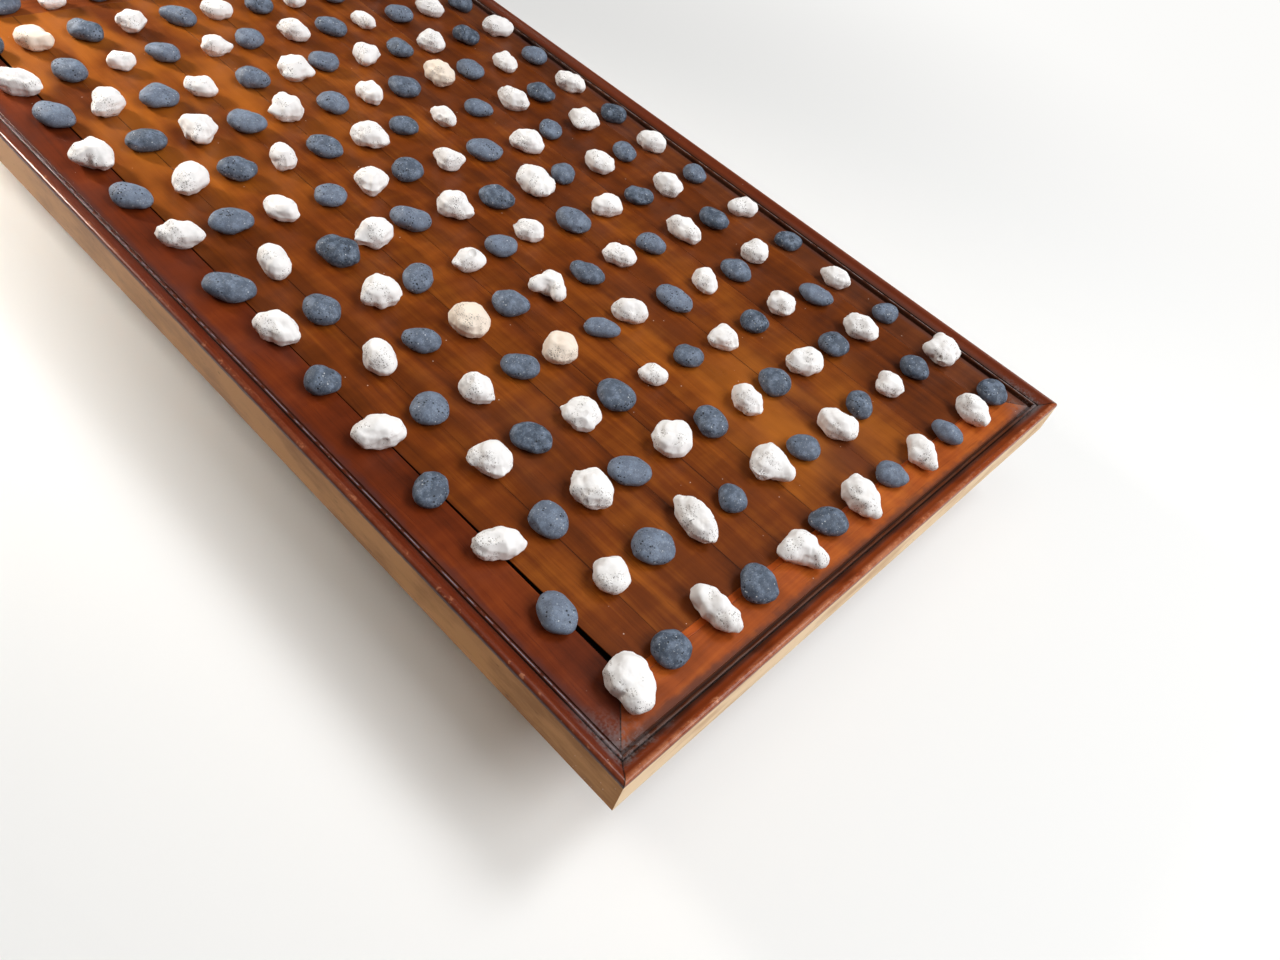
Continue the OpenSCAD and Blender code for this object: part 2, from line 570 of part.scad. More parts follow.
left_rail();
right_rail();
near_rail();
far_rail();
corner_splines();
for (i = [0:plank_count - 1]) plank(i);
near_end_slip();
plank_dowels();
near_batten();
middle_batten();
far_batten();
batten_screws();
near_left_foot();
near_right_foot();
far_left_foot();
far_right_foot();
for (row = [0:rows - 1]) white_stones(row);
for (row = [0:rows - 1]) black_stones(row);
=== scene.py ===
import math
import random

import bmesh
import bpy
from mathutils import Matrix, Vector, noise


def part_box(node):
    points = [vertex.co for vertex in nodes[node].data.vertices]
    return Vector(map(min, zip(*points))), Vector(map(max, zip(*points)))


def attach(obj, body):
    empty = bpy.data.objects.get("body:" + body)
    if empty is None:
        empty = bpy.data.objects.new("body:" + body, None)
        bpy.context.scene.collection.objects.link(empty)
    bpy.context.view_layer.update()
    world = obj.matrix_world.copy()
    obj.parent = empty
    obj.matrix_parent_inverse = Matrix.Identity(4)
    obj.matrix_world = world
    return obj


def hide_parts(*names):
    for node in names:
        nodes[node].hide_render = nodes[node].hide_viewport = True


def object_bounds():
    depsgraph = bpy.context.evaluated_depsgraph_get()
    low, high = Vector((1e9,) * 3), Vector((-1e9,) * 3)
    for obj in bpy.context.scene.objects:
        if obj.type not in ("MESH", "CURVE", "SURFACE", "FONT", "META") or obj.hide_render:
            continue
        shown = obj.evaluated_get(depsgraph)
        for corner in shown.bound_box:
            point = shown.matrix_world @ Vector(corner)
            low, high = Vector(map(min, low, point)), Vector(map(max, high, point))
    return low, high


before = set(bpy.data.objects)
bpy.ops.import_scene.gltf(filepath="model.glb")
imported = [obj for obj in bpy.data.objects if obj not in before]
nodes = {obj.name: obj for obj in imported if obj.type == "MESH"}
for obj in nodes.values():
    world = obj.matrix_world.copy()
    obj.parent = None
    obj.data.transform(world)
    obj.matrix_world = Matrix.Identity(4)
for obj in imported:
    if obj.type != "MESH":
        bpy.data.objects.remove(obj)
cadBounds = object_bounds()

# The playing surface and the frame's outer edges, read from the solids
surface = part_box("plank_4")[1].z
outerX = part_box("right_rail")[1].x
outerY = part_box("far_rail")[1].y
millimetre = 0.001
toMillimetres = 1000


def addObject(name, data):
    made = bpy.data.objects.new(name, data)
    bpy.context.scene.collection.objects.link(made)
    return made


def meshFrom(bm, name):
    mesh = bpy.data.meshes.new(name)
    bm.to_mesh(mesh)
    bm.free()
    return mesh


def aimed(place, aim, roll=0.0):
    # stands at place and looks at aim, leaning by roll in degrees
    look = (Vector(aim) - Vector(place)).to_track_quat("-Z", "Y").to_matrix()
    turned = look @ Matrix.Rotation(math.radians(roll), 3, "Z")
    return Matrix.Translation(place) @ turned.to_4x4()


# Camera and lights

view = {
    "eye": (-0.4131, -0.4142, 0.4646),     # where the lens stands
    "aim": (-0.0760, -0.2275, 0.0740),     # the place on the board at the middle of the picture
    "roll": 20.23,                         # degrees that the camera leans to its left
    "lens": 29.08, "sensor": 36,           # focal length and the sensor's width in mm
    "clip": 0.01,
}


def setCamera():
    camera = addObject("camera", bpy.data.cameras.new("camera"))
    camera.data.sensor_width = view["sensor"]
    camera.data.sensor_fit = "HORIZONTAL"
    camera.data.lens = view["lens"]
    camera.data.clip_start = view["clip"]
    camera.matrix_world = aimed(view["eye"], view["aim"], view["roll"])
    bpy.context.scene.camera = camera


lights = {
    # name: where it stands, where it points, width, height, watts, spread in degrees, colour
    "rightWindow": ((1.2, -0.8, 2.6), (0.0, -0.05, 0.08), 1.0, 1.0, 34, 180, (0.99, 0.995, 1.0)),
    "nearWindow": ((0.35, -1.95, 2.0), (0.0, -0.05, 0.08), 1.4, 1.2, 45, 180, (0.99, 0.995, 1.0)),
    "topFill": ((-0.48, 0.15, 2.8), (0.0, -0.05, 0.08), 1.3, 1.2, 5, 180, (1.0, 0.96, 0.9)),
    "farWindow": ((-0.42, 0.95, 0.5), (-0.18, 0.3, 0.05), 0.2, 0.18, 1.1, 50, (1.0, 0.93, 0.84)),
}
daylight = {"strength": 0.12, "colour": (1.0, 0.91, 0.8)}
backdropColour = (0.975, 0.97, 0.955, 1)


def setLights():
    for name, (place, aim, width, height, watts, spread, colour) in lights.items():
        lamp = bpy.data.lights.new(name, "AREA")
        lamp.shape = "RECTANGLE"
        lamp.size, lamp.size_y = width, height
        lamp.energy = watts
        lamp.spread = math.radians(spread)
        lamp.color = colour
        addObject(name, lamp).matrix_world = aimed(place, aim)
    world = bpy.data.worlds.new("daylight")
    world.use_nodes = True
    tree = world.node_tree
    sky = tree.nodes["Background"]
    sky.inputs["Color"].default_value = (*daylight["colour"], 1)
    sky.inputs["Strength"].default_value = daylight["strength"]
    # what the camera sees past the floor is a plain pale backdrop
    backdrop = tree.nodes.new("ShaderNodeBackground")
    backdrop.inputs["Color"].default_value = backdropColour
    choice = tree.nodes.new("ShaderNodeMixShader")
    rays = tree.nodes.new("ShaderNodeLightPath")
    tree.links.new(rays.outputs["Is Camera Ray"], choice.inputs[0])
    tree.links.new(sky.outputs[0], choice.inputs[1])
    tree.links.new(backdrop.outputs[0], choice.inputs[2])
    tree.links.new(choice.outputs[0], tree.nodes["World Output"].inputs["Surface"])
    bpy.context.scene.world = world
    bpy.context.scene.view_settings.view_transform = "Standard"


# Shader building

dotCore = 0.6        # the solid part of a dot's radius
dotChoice = 0.02     # how softly the cells that have a dot are chosen


class Wire:
    # an output socket that takes Python arithmetic, each operator adding one Math node
    def __init__(self, finish, socket):
        self.finish = finish
        self.socket = socket

    def __add__(self, other):
        return self.finish.maths("ADD", self, other)

    def __radd__(self, other):
        return self.finish.maths("ADD", other, self)

    def __sub__(self, other):
        return self.finish.maths("SUBTRACT", self, other)

    def __rsub__(self, other):
        return self.finish.maths("SUBTRACT", other, self)

    def __mul__(self, other):
        return self.finish.maths("MULTIPLY", self, other)

    def __abs__(self):
        return self.finish.maths("ABSOLUTE", self)


class Finish:
    # one material and the nodes that make it
    def __init__(self, name):
        self.material = bpy.data.materials.new(name)
        self.material.use_nodes = True
        self.tree = self.material.node_tree
        self.shader = self.tree.nodes["Principled BSDF"]
        self.place = self.node("TexCoord", {}, {}, out="Object")

    def node(self, kind, settings, sockets, out=0):
        made = self.tree.nodes.new("ShaderNode" + kind)
        for name, value in settings.items():
            setattr(made, name, value)
        self.plug(made, sockets)
        return Wire(self, made.outputs[out])

    def plug(self, made, sockets):
        for key, value in sockets.items():
            if isinstance(value, Wire):
                self.tree.links.new(value.socket, made.inputs[key])
            else:
                made.inputs[key].default_value = value

    def maths(self, operation, *values):
        return self.node("Math", {"operation": operation}, dict(enumerate(values)))

    def attribute(self, name):
        return self.node("Attribute", {"attribute_name": name}, {}, out="Fac")

    def split(self, vector):
        return [self.node("SeparateXYZ", {}, {0: vector}, out=axis) for axis in "XYZ"]

    def grain(self, vector, scales, detail, roughness=0.5):
        # noise with one scale, or with one for each axis
        if not isinstance(scales, tuple):
            scales = (scales, scales, scales)
        stretched = self.node("VectorMath", {"operation": "MULTIPLY"}, {0: vector, 1: scales})
        return self.node("TexNoise", {}, {"Vector": stretched, "Scale": 1.0, "Detail": detail,
                                          "Roughness": roughness})

    def noises(self, vectors, table):
        return {key: self.grain(vectors[kind], *numbers) for key, (kind, *numbers) in table.items()}

    def total(self, parts, shares, start=None):
        # the named parts added up, each times its share
        for key, share in shares.items():
            part = parts[key] * share
            start = part if start is None else start + part
        return start

    def sway(self, value, blur, amount):
        # a border moved to and fro by a noise
        return value + (blur - 0.5) * amount

    def rise(self, value, low, high):
        # 0 below low, 1 above high, smooth between them
        return self.node("MapRange", {"interpolation_type": "SMOOTHSTEP"},
                         {"Value": value, "From Min": low, "From Max": high})

    def fall(self, value, low, high):
        return 1 - self.rise(value, low, high)

    def between(self, value, low, high, soft):
        # 1 from low to high, fading over a soft width to either side
        return self.rise(value, low - soft, low + soft) * self.fall(value, high - soft, high + soft)

    def mix(self, factor, first, second):
        return self.node("Mix", {"data_type": "RGBA"}, {0: factor, 6: first, 7: second}, out=2)

    def coats(self, colour, *layers):
        # each layer is a mask and the colour that it lays over what is there
        for mask, layer in layers:
            colour = self.mix(mask, colour, layer)
        return colour

    def ramp(self, value, places, tones):
        made = self.tree.nodes.new("ShaderNodeValToRGB")
        stops = made.color_ramp.elements
        stops.new(1)
        for stop, place, tone in zip(stops, places, ("dark", "middle", "light")):
            stop.position = place
            stop.color = tones[tone]
        self.plug(made, {0: value})
        return Wire(self, made.outputs[0])

    def dots(self, scale, radius, share):
        # round spots scattered at random, 1 inside them; share is the part of the cells that has one
        cells = {"Vector": self.place, "Scale": scale}
        chance = self.split(self.node("TexVoronoi", {}, cells, out="Color"))[0]
        return self.fall(self.node("TexVoronoi", {}, cells), radius * dotCore, radius) \
            * self.rise(chance, 1 - share - dotChoice, 1 - share + dotChoice)

    def bump(self, height, depth):
        return self.node("Bump", {}, {"Height": height, "Distance": depth * millimetre, "Strength": 1.0})

    def shade(self, sockets):
        self.plug(self.shader, sockets)
        return self.material


def paint(red, green, blue):
    # a colour as a screen shows it, 0 to 255, made linear
    def linear(level):
        share = level / 255
        return share / 12.92 if share <= 0.04045 else ((share + 0.055) / 1.055) ** 2.4
    return (linear(red), linear(green), linear(blue), 1)


# Floor

floorLook = {
    "colour": paint(245, 246, 246), "roughness": 0.9, "size": 30.0,
    "fade": (0.45, 1.1),       # how far from the board the camera sees the floor run out into the backdrop
}


def layFloor():
    bm = bmesh.new()
    bmesh.ops.create_grid(bm, x_segments=1, y_segments=1, size=floorLook["size"] / 2)
    mesh = meshFrom(bm, "floor")
    floor = addObject("floor", mesh)
    finish = Finish("pale_floor")
    mesh.materials.append(finish.shade({"Base Color": floorLook["colour"],
                                        "Roughness": floorLook["roughness"], "Specular IOR Level": 0.0}))
    away = finish.node("VectorMath", {"operation": "LENGTH"}, {0: finish.place}, out="Value")
    seen = finish.node("LightPath", {}, {}, out="Is Camera Ray")
    paper = finish.node("Emission", {}, {"Color": backdropColour, "Strength": 1.0})
    lit = Wire(finish, finish.shader.outputs[0])
    shown = finish.node("MixShader", {}, {0: finish.rise(away, *floorLook["fade"]) * seen, 1: lit, 2: paper})
    finish.plug(finish.tree.nodes["Material Output"], {"Surface": shown})


# Pieces copied from the solids

meshLook = {
    "join": 0.01 * millimetre,             # how near to each other vertices are joined
    "flat": 0.5,                           # degrees up to which faces are one
    "ease": 38,                            # degrees from which an edge is eased
    "easeDepth": 3 * millimetre,           # how far below the surface the boards' edges are eased
    "sharp": 35,                           # degrees from which the shading breaks
    "broadFace": 20 * millimetre ** 2, "square": 0.9999,
}


def mergedCopy(name):
    # a solid's mesh with its loose triangles joined up
    bm = bmesh.new()
    bm.from_mesh(nodes[name].data)
    bmesh.ops.remove_doubles(bm, verts=bm.verts, dist=meshLook["join"])
    return bm


def finishPiece(bm, name, node, body, material):
    mesh = meshFrom(bm, name)
    mesh.shade_smooth()
    if body == "board":
        mesh.set_sharp_from_angle(angle=math.radians(meshLook["sharp"]))
        for face in mesh.polygons:      # a board's broad faces stay flat up to their eased edges
            if face.area > meshLook["broadFace"] \
                    and max(abs(part) for part in face.normal) > meshLook["square"]:
                face.use_smooth = False
    piece = addObject(name, mesh)
    mesh.materials.append(material)
    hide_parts(node)
    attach(piece, body)


def easedCopy(name, width, above=None):
    # a board whose sharp edges are broken as use has done
    bm = mergedCopy(name)
    bmesh.ops.dissolve_limit(bm, angle_limit=math.radians(meshLook["flat"]), verts=bm.verts, edges=bm.edges)
    sharp = [edge for edge in bm.edges
             if len(edge.link_faces) == 2 and edge.calc_face_angle() > math.radians(meshLook["ease"])
             and (above is None or max(v.co.z for v in edge.verts) > above)]
    bmesh.ops.bevel(bm, geom=sharp, offset=width * millimetre, offset_type="OFFSET", segments=2, profile=0.5,
                    affect="EDGES", material=-1, clamp_overlap=True)
    return bm


# Wood

woodLook = {
    "dust": paint(232, 214, 200), "dustShare": 0.75,
    "gap": paint(14, 9, 7),                # painted shade, partly dirt: what shows between boards that have shrunk apart
    "gapHeight": (-0.7, -0.35),            # the height in mm at which that starts
    "filmAndSheenShare": 0.3,
    "sheen": 0.2,
    "relief": 0.04, "rawRelief": 0.08,     # depth of the grain in mm
    "wander": ((16, 5, 16), 2), "bend": 0.018,
    "swap": 2.3,                           # how far the pattern is moved along the grain against across it
    # the space each noise is read in, its scales, detail and roughness; wash and haze run on over all boards
    "noises": {
        "band": ("bent", (95, 1.8, 95), 4, 0.55), "streak": ("bent", (330, 9, 330), 3, 0.6),
        "fibre": ("bent", (900, 20, 900), 3, 0.6), "pores": ("bent", (1700, 70, 1700), 1),
        "dashes": ("bent", (760, 46, 760), 1), "mottle": ("turned", (24, 11, 24), 3),
        "curl": ("turned", (30, 120, 30), 2), "wash": ("place", (22, 13, 22), 3),
        "haze": ("place", (13, 10, 13), 4, 0.6),
    },
    "ranges": {"pores": (0.62, 0.74), "dashes": (0.66, 0.76), "haze": (0.5, 0.72)},
    "specks": ((170.0, 0.07, 0.12), (70.0, 0.035, 0.15)),
    # how much each of them counts
    "tone": {"band": 0.2, "streak": 0.16, "fibre": 0.06, "mottle": 0.2, "wash": 0.26, "curl": 0.12},
    "marks": {"pores": 0.3, "dashes": 0.35},
    "rawFilm": {"haze": 0.7, "dashes": 0.3},
    "roughness": 0.34, "rough": {"haze": 0.12, "fibre": 0.06, "dust": 0.3},
    "height": {"fibre": 0.4, "curl": 0.5, "pores": -0.7},
    "stops": (0.37, 0.5, 0.65), "rawStops": (0.4, 0.5, 0.6),
}
# the battens and all undersides, never stained
rawTones = {"dark": paint(112, 78, 48), "middle": paint(152, 112, 74), "light": paint(182, 142, 100),
            "filmAndSheen": paint(128, 102, 78)}
slipTones = {"dark": paint(104, 42, 14), "middle": paint(156, 68, 20), "light": paint(190, 92, 30),
             "filmAndSheen": paint(124, 58, 30)}
footTones = {"dark": paint(58, 24, 12), "middle": paint(92, 40, 20), "light": paint(130, 64, 32),
             "filmAndSheen": paint(74, 46, 38)}

easeWidths = {"plank": 0.14, "rail": 0.25, "slip": 0.35, "batten": 0.5}     # in mm
# where in the grain's pattern the pieces are cut from; planks and rails step on from theirs
patternStarts = {"plank": 0.37, "rail": 3.1, "slip": 6.4, "batten": 8.2, "foot": 9.7, "hidden": 11.3}
grainTurns = {"x": (0, 0, math.pi / 2), "y": (0, 0, 0), "z": (-math.pi / 2, 0, 0)}


def stainedWood(name, along, tones, start, lighter=0.0):
    finish = Finish(name)
    turned = finish.node("Mapping", {}, {"Vector": finish.place, "Rotation": grainTurns[along],
                                         "Location": (start, start * woodLook["swap"], 0)})
    wander = finish.grain(turned, *woodLook["wander"])
    across, length, up = finish.split(turned)
    bent = finish.node("CombineXYZ", {}, {0: finish.sway(across, wander, woodLook["bend"]), 1: length, 2: up})
    vectors = {"place": finish.place, "turned": turned, "bent": bent}
    parts = finish.noises(vectors, woodLook["noises"])
    for key, ends in woodLook["ranges"].items():
        parts[key] = finish.rise(parts[key], *ends)
    small, large = woodLook["specks"]
    parts["dust"] = finish.dots(*small) + finish.dots(*large)
    tone = finish.total(parts, woodLook["tone"]) + lighter
    colour = finish.coats(finish.ramp(tone, woodLook["stops"], tones),
                          (finish.total(parts, woodLook["marks"]), tones["dark"]),
                          (parts["haze"] * woodLook["filmAndSheenShare"], tones["filmAndSheen"]),
                          (parts["dust"] * woodLook["dustShare"], woodLook["dust"]))
    raw = finish.mix(finish.total(parts, woodLook["rawFilm"]),
                     finish.ramp(tone, woodLook["rawStops"], rawTones), rawTones["filmAndSheen"])
    return {"finish": finish, "vectors": vectors, "colour": colour, "raw": raw,
            "roughness": finish.total(parts, woodLook["rough"], woodLook["roughness"]),
            "height": finish.total(parts, woodLook["height"])}


def closeWood(wood, relief=woodLook["relief"]):
    finish = wood["finish"]
    return finish.shade({"Base Color": wood["colour"], "Roughness": wood["roughness"],
                         "Specular IOR Level": woodLook["sheen"],
                         "Normal": finish.bump(wood["height"], relief)})


plankLook = {
    "tones": {"dark": paint(76, 32, 8), "middle": paint(112, 52, 12), "light": paint(158, 86, 24),
              "filmAndSheen": paint(92, 50, 30)},
    "lighter": (-0.02, 0.0, 0.012, -0.01, 0.008, 0.018, -0.03),     # how much lighter each plank's tone is
    "patch": ((26, 12, 26), 3),
    # painted light: golden pools where the light falls brightest on the panel: middle, inner and outer
    # radius, share
    "litGold": paint(190, 110, 34), "litGoldPatch": (0.34, 0.62),
    "lightPools": [((-0.15, 0.22), 0.04, 0.24, 0.55), ((0.045, -0.245), 0.01, 0.09, 0.65)],
    "under": (-10.0, -9.6), "underRough": 0.3,                      # the height in mm where the stain ends
    "seam": (0.15, 0.45), "seamPatch": (0.3, 0.6), "seamShare": 0.7,     # dirt to either side of the seams
}


def plankWood(index, name):
    wood = stainedWood(name + "_wood", "y", plankLook["tones"], (index + 1) * patternStarts["plank"],
                       plankLook["lighter"][index])
    finish = wood["finish"]
    x, _, z = finish.split(finish.place)
    patch = finish.grain(finish.place, *plankLook["patch"])
    colour = wood["colour"]
    # painted light: the panel made golden where the light falls brightest
    for middle, inner, outer, share in plankLook["lightPools"]:
        away = finish.node("VectorMath", {"operation": "DISTANCE"}, {0: finish.place, 1: (*middle, surface)},
                           out="Value")
        glow = finish.fall(away, inner, outer) * finish.rise(patch, *plankLook["litGoldPatch"])
        colour = finish.mix(glow * share, colour, plankLook["litGold"])
    height = (z - surface) * toMillimetres
    below = finish.fall(height, *plankLook["under"])
    low, high = (corner.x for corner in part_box(name))
    fromEdge = ((high - low) / 2 - abs(x - (low + high) / 2)) * toMillimetres
    seam = finish.fall(fromEdge, *plankLook["seam"]) * finish.rise(patch, *plankLook["seamPatch"])
    # faces below the surface get painted shade, partly dirt, where the gaps show them
    wood["colour"] = finish.coats(colour, (finish.fall(height, *woodLook["gapHeight"]), woodLook["gap"]),
                                  (below, wood["raw"]), (seam * plankLook["seamShare"], woodLook["gap"]))
    wood["roughness"] = wood["roughness"] + below * plankLook["underRough"]
    return closeWood(wood)


railLook = {
    "noises": {
        "blot": ("place", 160, 3, 0.6), "broad": ("turned", (60, 14, 60), 3), "fine": ("place", 700, 2, 0.6),
        "stain": ("turned", (52, 16, 52), 5, 0.65), "streak": ("turned", (260, 9, 260), 3, 0.6),
        "mark": ("turned", (210, 70, 210), 2, 0.7),
    },
    # patches: how much each noise counts, and where along their sum the patch begins and is full
    "patches": {
        "worn": ({"broad": 0.5, "blot": 0.3, "fine": 0.2}, (0.43, 0.57)),
        "chip": ({"blot": 1, "fine": 0.5}, (0.9, 0.94)),
        "scuff": ({"broad": 0.7, "blot": 0.7, "fine": 0.6}, (0.86, 1.12)),
        "side": ({"stain": 0.8, "streak": 0.2}, (0.44, 0.64)),
        "mark": ({"mark": 1}, (0.68, 0.76)),
        "bead": ({"blot": 1}, (0.4, 0.56)),
        "grit": ({"blot": 1}, (0.4, 0.6)),
    },
    # across the rail, in mm from its outer face; a third number is the softness
    "face": (0.25, 0.6), "line": (0.6, 1.2), "crest": (1.6, 4.2), "slope": (7.6, 9.0),
    "foot": (6.8, 13.5, 1.2), "quirk": (8.6, 9.8, 0.25), "bead": (10.25, 10.75, 0.2),
    "channel": (11.2, 13.3, 0.25), "sheenFrom": (13.3, 13.6), "sheenTo": (13.6, 18.0), "inner": (30.0, 31.0),
    "sheenSway": {"blot": 5, "broad": 8},
    # in mm above the playing surface
    "crestHeight": (4.9, 5.9), "lineHeight": (3.3, 5.5, 0.4), "faceTop": (3.2, 4.0), "faceSway": 1.4,
    "under": (-17.9, -17.5),
    # round the corners, in mm
    "mitre": (0.2, 0.75), "corner": (10.0, 55.0), "scuffReach": (22.0, 60.0), "scuffFrom": (4.0, 8.0),
    "nicks": (160.0, 0.12, 0.12), "grit": (420.0, 0.16, 0.16),
    # near-black for the mitre lines and the marks on the sides, and painted shade, partly dirt, in the
    # mouldings' recesses
    "dirtAndShade": paint(26, 15, 11),
    "edge": paint(60, 20, 10),             # painted shadow: the dark line under the crest's edge, between the stained top and the bare side
    "chip": paint(206, 138, 100), "chipShare": 0.25,
    "scuff": paint(118, 108, 108),         # what has rubbed into the corners
    "pale": paint(203, 188, 174),          # painted light: what the left side fades to, away from the near end, where it is lit more
    "litFrom": (-0.25, 0.15), "litShare": 0.2,
    "leftEnd": (-0.18, -0.13), "leftSway": 0.05, "leftShare": 0.4,
    "shares": {"quirk": 0.85, "channel": 0.4, "side": 0.75, "nicks": 0.7, "marks": 0.4, "mitre": 0.8,
               "scuff": 0.8, "grit": 0.7},
    "rough": {"outside": 0.35, "channel": 0.2, "scuff": 0.2},
    "polish": 0.25, "polishRough": 0.2,    # gloss left on the crest and the slope
}
railTones = {
    "left_rail": {
        "dark": paint(70, 26, 8), "middle": paint(106, 42, 13), "light": paint(140, 64, 22),
        "filmAndSheen": paint(72, 42, 42), "filmAndSheenShare": 0.6,
        "slope": paint(106, 39, 14), "slopeShare": 0.8, "dirtAndShade": 0.35, "edge": 0.85,
        "bead": paint(136, 132, 144), "beadShare": 0.8,
        "side": paint(181, 131, 84), "sideWorn": paint(136, 92, 56),
        "wear": 0.1},
    "right_rail": {
        "dark": paint(66, 30, 12), "middle": paint(104, 52, 24), "light": paint(142, 78, 36),
        "filmAndSheen": paint(78, 60, 60), "filmAndSheenShare": 0.45,
        "slope": paint(116, 44, 18), "slopeShare": 0.7, "dirtAndShade": 0.45, "edge": 0.6,
        "bead": paint(136, 128, 128), "beadShare": 0.8,
        "side": paint(180, 142, 108), "sideWorn": paint(128, 90, 62),
        "wear": 0.05},
    "near_rail": {
        "dark": paint(116, 50, 16), "middle": paint(162, 78, 28), "light": paint(200, 110, 42),
        "filmAndSheen": paint(82, 50, 42), "filmAndSheenShare": 0.7,
        "slope": paint(134, 53, 14), "slopeShare": 0.8, "dirtAndShade": 0.75, "edge": 0.3,
        "bead": paint(84, 62, 50), "beadShare": 0.75,
        # partly painted light: the near side's bare wood is given a far paler tone than the other sides, for
        # the light that falls on that face
        "side": paint(232, 204, 168), "sideWorn": paint(192, 154, 114),
        "wear": 0.5},
    "far_rail": {
        "dark": paint(80, 32, 10), "middle": paint(116, 54, 18), "light": paint(158, 84, 32),
        "filmAndSheen": paint(74, 48, 44), "filmAndSheenShare": 0.6,
        "slope": paint(122, 48, 20), "slopeShare": 0.6, "dirtAndShade": 0.6, "edge": 0.6,
        "bead": paint(126, 116, 116), "beadShare": 0.5,
        "side": paint(180, 142, 108), "sideWorn": paint(128, 90, 62),
        "wear": 0.1},
}


def railWood(name, start):
    alongX = name in ("near_rail", "far_rail")
    tones = railTones[name]
    shares = railLook["shares"]
    dirtAndShade = railLook["dirtAndShade"]
    wood = stainedWood(name + "_wood", "x" if alongX else "y", tones, start)
    finish = wood["finish"]
    x, y, z = finish.split(finish.place)
    fromX = (outerX - abs(x)) * toMillimetres
    fromY = (outerY - abs(y)) * toMillimetres
    inward = fromY if alongX else fromX
    height = (z - surface) * toMillimetres
    blurs = finish.noises(wood["vectors"], railLook["noises"])
    patches = {key: finish.rise(finish.total(blurs, counts), *ends)
               for key, (counts, ends) in railLook["patches"].items()}
    colour = wood["colour"]
    if name == "near_rail":
        # the left end of the near rail is as dark as the left rail
        left = finish.fall(finish.sway(x, blurs["broad"], railLook["leftSway"]), *railLook["leftEnd"])
        colour = finish.mix(left * railLook["leftShare"], colour, railTones["left_rail"]["light"])

    # the moulding, from its slope to the greyish band beside the panel, which is partly a worn film and
    # partly painted sheen
    slope = finish.fall(inward, *railLook["slope"])
    foot, quirk, channel, bead = (finish.between(inward, *railLook[part])
                                  for part in ("foot", "quirk", "channel", "bead"))
    blurred = inward
    for key, amount in railLook["sheenSway"].items():
        blurred = finish.sway(blurred, blurs[key], amount)
    filmAndSheen = finish.rise(inward, *railLook["sheenFrom"]) * finish.fall(blurred, *railLook["sheenTo"])
    crest = finish.rise(height, *railLook["crestHeight"]) * finish.fall(inward, *railLook["crest"])
    line = finish.between(height, *railLook["lineHeight"]) * finish.fall(inward, *railLook["line"])
    colour = finish.coats(
        colour,
        (slope * tones["slopeShare"], tones["slope"]),
        # painted shade, partly dirt: the foot of the slope, the quirk and the channel darkened
        (foot * tones["dirtAndShade"], dirtAndShade),
        (quirk * shares["quirk"] + channel * shares["channel"], dirtAndShade),
        # painted highlight, partly dust: a lighter line along the bead
        (bead * patches["bead"] * tones["beadShare"], tones["bead"]),
        # partly painted sheen, partly a worn film: the greyish band beside the panel
        (filmAndSheen * tones["filmAndSheenShare"], tones["filmAndSheen"]),
        (crest * patches["worn"] * tones["wear"], railLook["chip"]),
        (crest * patches["chip"] * (railLook["chipShare"] + tones["wear"]), railLook["chip"]),
        # painted shadow: a dark line along the top of the bare side, under the crest's edge
        (line * tones["edge"], railLook["edge"]))

    # the bare outer side
    outside = finish.fall(inward, *railLook["face"]) \
        * finish.fall(finish.sway(height, blurs["blot"], railLook["faceSway"]), *railLook["faceTop"])
    side = finish.mix(patches["side"] * shares["side"], tones["side"], tones["sideWorn"])
    # painted light: the left side paler away from the near end
    if name == "left_rail":
        away = finish.rise(y, *railLook["litFrom"])
        side = finish.mix(away * railLook["litShare"], side, railLook["pale"])
    nicks = finish.dots(*railLook["nicks"])
    side = finish.mix(nicks * shares["nicks"] + patches["mark"] * shares["marks"], side, dirtAndShade)

    # the mitres, the corners, and the faces turned inward and down
    mitre = finish.fall(abs(fromX - fromY), *railLook["mitre"]) * (1 - outside)
    corner = finish.fall(fromX, *railLook["corner"]) * finish.fall(fromY, *railLook["corner"])
    grit = finish.dots(*railLook["grit"]) * corner * patches["grit"]
    scuff = finish.fall(fromX + fromY, *railLook["scuffReach"]) \
        * finish.rise(inward, *railLook["scuffFrom"]) * patches["scuff"]
    # the inner faces below the surface get painted shade, partly dirt, where the gap shows them
    inside = finish.rise(inward, *railLook["inner"]) * finish.fall(height, *woodLook["gapHeight"])
    wood["colour"] = finish.coats(
        colour,
        (outside, side),
        (mitre * shares["mitre"], dirtAndShade),
        (scuff * shares["scuff"], railLook["scuff"]),
        (grit * shares["grit"], woodLook["dust"]),
        (inside, woodLook["gap"]),
        (finish.fall(height, *railLook["under"]), wood["raw"]))
    wood["roughness"] = finish.total({"outside": outside, "channel": channel, "scuff": scuff},
                                     railLook["rough"], wood["roughness"])
    finish.shade({"Coat Weight": slope * (1 - outside) * railLook["polish"],
                  "Coat Roughness": railLook["polishRough"]})
    return closeWood(wood)


slipHeight = (-0.3, -0.05)      # the height in mm at which the slip's sides turn dark with painted shade, partly dirt, in the gap


def slipWood():
    wood = stainedWood("slip_wood", "x", slipTones, patternStarts["slip"])
    finish = wood["finish"]
    height = (finish.split(finish.place)[2] - surface) * toMillimetres
    wood["colour"] = finish.mix(finish.fall(height, *slipHeight), wood["colour"], woodLook["gap"])
    return closeWood(wood)


